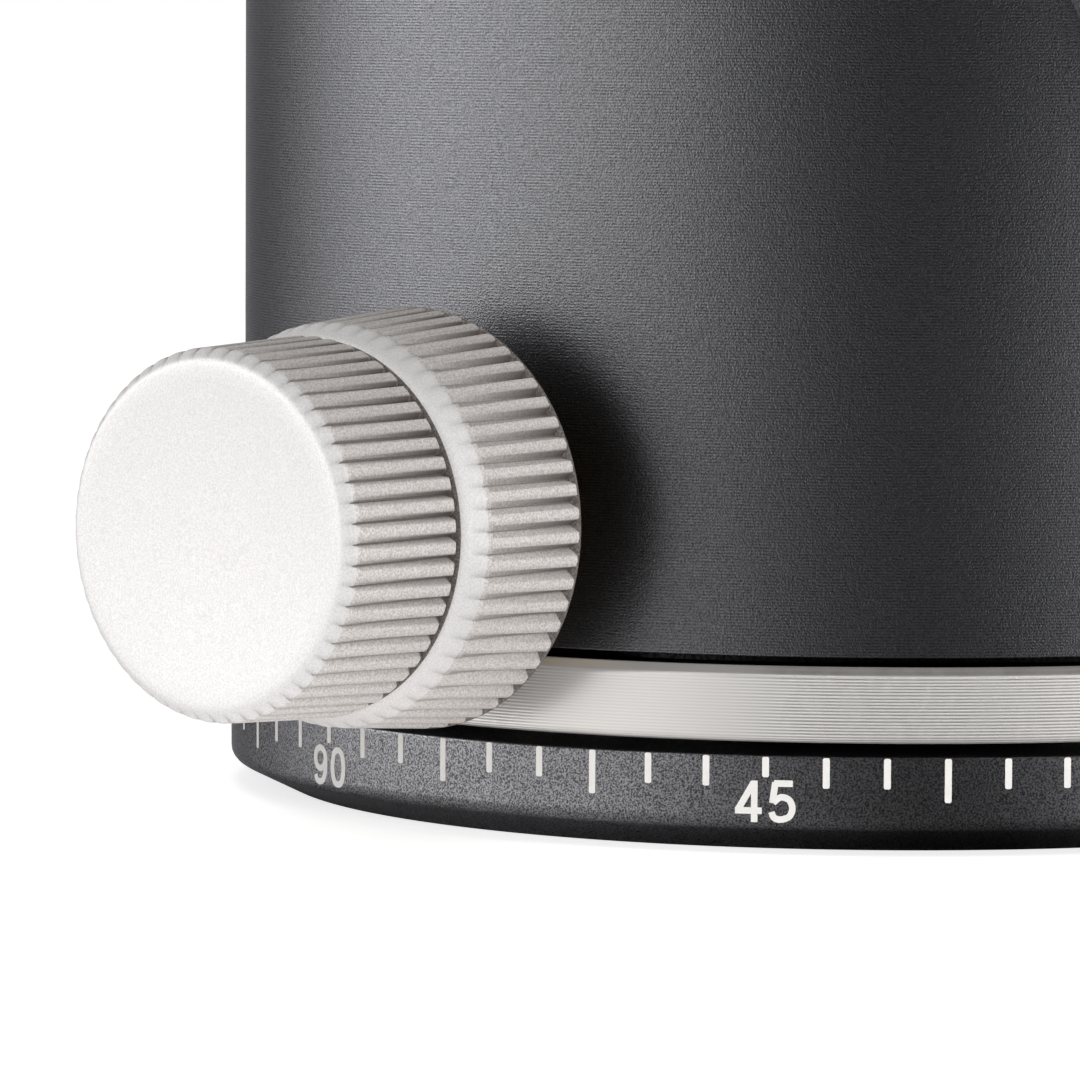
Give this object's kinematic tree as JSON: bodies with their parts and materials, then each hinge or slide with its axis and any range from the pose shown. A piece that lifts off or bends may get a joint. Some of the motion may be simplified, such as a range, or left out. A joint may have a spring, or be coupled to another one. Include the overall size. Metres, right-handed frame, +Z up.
{
  "type": "tripod ball head",
  "caption": "Panning tripod ball head: black turned housing on a degree-scaled foot, bright index ring, concentric lock and drag knobs, quick-release dovetail clamp.",
  "frame": {"origin": "centre of the tripod thread's mouth, on the underside of the foot", "axes": "+Z up along the pan axis; the pan control points along -X, the ball control along -Y; the clamp's channel runs along X"},
  "size_m": [0.0769, 0.0857, 0.109],
  "materials": {
    "black_anodised": "turned, fine-blasted and black anodised, satin",
    "silver_anodised": "bead-blasted and clear anodised, satin",
    "turned_silver": "fine turned and clear anodised",
    "ball_anodised": "ground and hard anodised, dark grey",
    "stainless_steel": "turned stainless steel",
    "black_steel": "blackened screws",
    "spring_steel": "drawn wire and strip",
    "brass": "turned brass",
    "acetal": "natural acetal, machined",
    "level_fluid": "yellow-green level fluid",
    "level_glass": "clear acrylic lens"
  },
  "bodies": {
    "foot": {"base_plate": "black_anodised", "tripod_bushing": "stainless_steel", "spindle": "stainless_steel", "spindle_screws": "black_steel", "thrust_washer": "acetal", "retaining_washer": "stainless_steel", "retaining_nut": "stainless_steel"},
    "housing": {"housing": "black_anodised", "index_ring": "turned_silver", "ring_screws": "black_steel", "pan_carrier": "black_anodised", "pan_bushing": "brass", "lock_bushing": "brass", "cup_spring": "spring_steel", "upper_seat_liners": "acetal"},
    "pan_shoe": {"pan_brake_shoe": "brass", "pan_drag_plunger": "acetal"},
    "pan_lock": {"pan_lock_screw": "stainless_steel", "pan_lock_knob": "silver_anodised"},
    "pan_seat": {"pan_drag_seat": "stainless_steel", "pan_drag_spring": "spring_steel"},
    "pan_drag": {"pan_drag_screw": "stainless_steel", "pan_drag_knob": "silver_anodised"},
    "ball_shoe": {"lock_plunger": "stainless_steel", "ball_drag_plunger": "acetal"},
    "ball_lock": {"ball_lock_screw": "stainless_steel", "ball_lock_knob": "silver_anodised"},
    "ball_seat": {"ball_drag_seat": "stainless_steel", "ball_drag_spring": "spring_steel"},
    "ball_drag": {"ball_drag_screw": "stainless_steel", "ball_drag_knob": "silver_anodised"},
    "cup": {"pressure_cup": "acetal"},
    "ball": {"ball": "ball_anodised"},
    "clamp": {"clamp_base": "black_anodised", "clamp_fixing_screw": "black_steel", "jaw_pins": "stainless_steel", "jaw_springs": "spring_steel", "level_cup": "silver_anodised", "level_fluid": "level_fluid", "level_lens": "level_glass"},
    "jaw": {"clamp_jaw": "black_anodised", "clamp_washer": "stainless_steel"},
    "clamp_knob": {"clamp_screw": "stainless_steel", "clamp_knob": "silver_anodised"}
  },
  "joints": [
    {"name": "pan", "type": "hinge", "parent": "foot", "child": "housing", "pos_m": [0, 0, 0.0142], "axis": [0, 0, 1], "continuous": true},
    {"name": "pan_shoe_slide", "type": "slide", "parent": "housing", "child": "pan_shoe", "axis": [1, 0, 0], "range_m": [-0.00075, 0.0002]},
    {"name": "pan_lock_turn", "type": "hinge", "parent": "pan_shoe", "child": "pan_lock", "pos_m": [0, 0, 0.01423], "axis": [1, 0, 0], "range_deg": [-271, 73]},
    {"name": "pan_seat_slide", "type": "slide", "parent": "pan_lock", "child": "pan_seat", "axis": [1, 0, 0], "range_m": [-0.0005, 0], "deforming": ["pan_drag_spring"]},
    {"name": "pan_drag_turn", "type": "hinge", "parent": "pan_seat", "child": "pan_drag", "pos_m": [0, 0, 0.01423], "axis": [1, 0, 0], "range_deg": [-361, 1]},
    {"name": "ball_shoe_slide", "type": "slide", "parent": "housing", "child": "ball_shoe", "axis": [0, 1, 0], "range_m": [-0.00075, 0.0002]},
    {"name": "ball_lock_turn", "type": "hinge", "parent": "ball_shoe", "child": "ball_lock", "pos_m": [0, 0, 0.0426], "axis": [0, 1, 0], "range_deg": [-271, 73]},
    {"name": "ball_seat_slide", "type": "slide", "parent": "ball_lock", "child": "ball_seat", "axis": [0, 1, 0], "range_m": [-0.001, 0], "deforming": ["ball_drag_spring"]},
    {"name": "ball_drag_turn", "type": "hinge", "parent": "ball_seat", "child": "ball_drag", "pos_m": [0, 0, 0.0426], "axis": [0, 1, 0], "range_deg": [-361, 1]},
    {"name": "ball_swivel", "type": "hinge", "parent": "housing", "child": "cup", "pos_m": [0, 0, 0.06], "axis": [0, 0, 1], "range_deg": [-180, 180]},
    {"name": "ball_tilt", "type": "hinge", "parent": "cup", "child": "ball", "pos_m": [0, 0, 0.06], "axis": [0, 1, 0], "range_deg": [-90, 90]},
    {"name": "clamp_spin", "type": "hinge", "parent": "ball", "child": "clamp", "pos_m": [0, 0, 0.06], "axis": [0, 0, 1], "range_deg": [-180, 180]},
    {"name": "jaw_slide", "type": "slide", "parent": "clamp", "child": "jaw", "axis": [0, 1, 0], "range_m": [-0.005, 0], "deforming": ["jaw_springs"]},
    {"name": "clamp_knob_turn", "type": "hinge", "parent": "jaw", "child": "clamp_knob", "pos_m": [0, 0, 0.09875], "axis": [0, 1, 0], "range_deg": [-1801, 1]}
  ],
  "couplings": [
    {"joint": "pan_lock_turn", "follows": "pan_shoe_slide", "rad_per_m": 6283.2},
    {"joint": "pan_drag_turn", "follows": "pan_seat_slide", "rad_per_m": 12566},
    {"joint": "ball_lock_turn", "follows": "ball_shoe_slide", "rad_per_m": 6283.2},
    {"joint": "ball_drag_turn", "follows": "ball_seat_slide", "rad_per_m": 6283.2},
    {"joint": "clamp_knob_turn", "follows": "jaw_slide", "rad_per_m": 6283.2}
  ]
}
